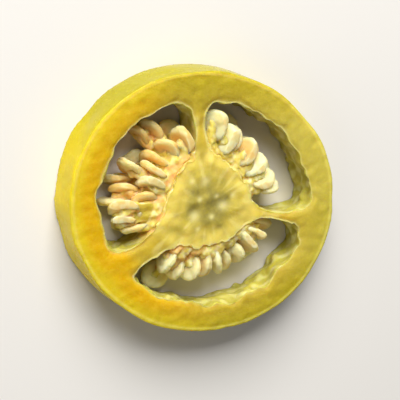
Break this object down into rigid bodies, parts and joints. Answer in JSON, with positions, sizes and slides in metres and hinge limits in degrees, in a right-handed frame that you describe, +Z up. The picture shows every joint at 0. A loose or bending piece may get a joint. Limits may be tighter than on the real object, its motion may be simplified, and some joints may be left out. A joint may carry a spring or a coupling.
{
  "type": "chilli pepper slice",
  "caption": "Thick round crosswise slice of a pickled green chilli pepper: fleshy wall, partitions and core around open chambers with pale flat seeds on short stalks.",
  "frame": {"origin": "under the middle of the slice, on its lower cut face, which is what it lies on", "axes": "+Z up along the fruit's own axis, from the lower cut towards the upper cut; +X along the slice's longer side in plan"},
  "size_m": [0.0324, 0.0304, 0.005],
  "materials": {
    "flesh": "wet waxy skin, moist translucent cut flesh",
    "seed": "moist, softly satin"
  },
  "bodies": {
    "root": {"pepper_slice": "flesh", "seed_left_1": "seed", "seed_left_2": "seed", "seed_left_3": "seed", "seed_left_4": "seed", "seed_left_5": "seed", "seed_left_6": "seed", "seed_left_7": "seed", "seed_left_8": "seed", "seed_left_9": "seed", "seed_left_outer_1": "seed", "seed_left_outer_2": "seed", "seed_left_outer_3": "seed", "seed_left_outer_4": "seed", "seed_left_outer_5": "seed", "seed_left_outer_6": "seed", "seed_left_outer_7": "seed", "seed_left_under_1": "seed", "seed_left_under_2": "seed", "seed_left_under_3": "seed", "seed_lower_1": "seed", "seed_lower_10": "seed", "seed_lower_2": "seed", "seed_lower_3": "seed", "seed_lower_4": "seed", "seed_lower_5": "seed", "seed_lower_6": "seed", "seed_lower_7": "seed", "seed_lower_8": "seed", "seed_lower_9": "seed", "seed_lower_under_1": "seed", "seed_lower_under_2": "seed", "seed_lower_under_3": "seed", "seed_lower_under_4": "seed", "seed_right_1": "seed", "seed_right_2": "seed", "seed_right_3": "seed", "seed_right_4": "seed", "seed_right_5": "seed", "seed_right_6": "seed", "seed_right_7": "seed", "seed_right_under_1": "seed", "seed_right_under_2": "seed", "seed_right_under_3": "seed"}
  },
  "joints": []
}
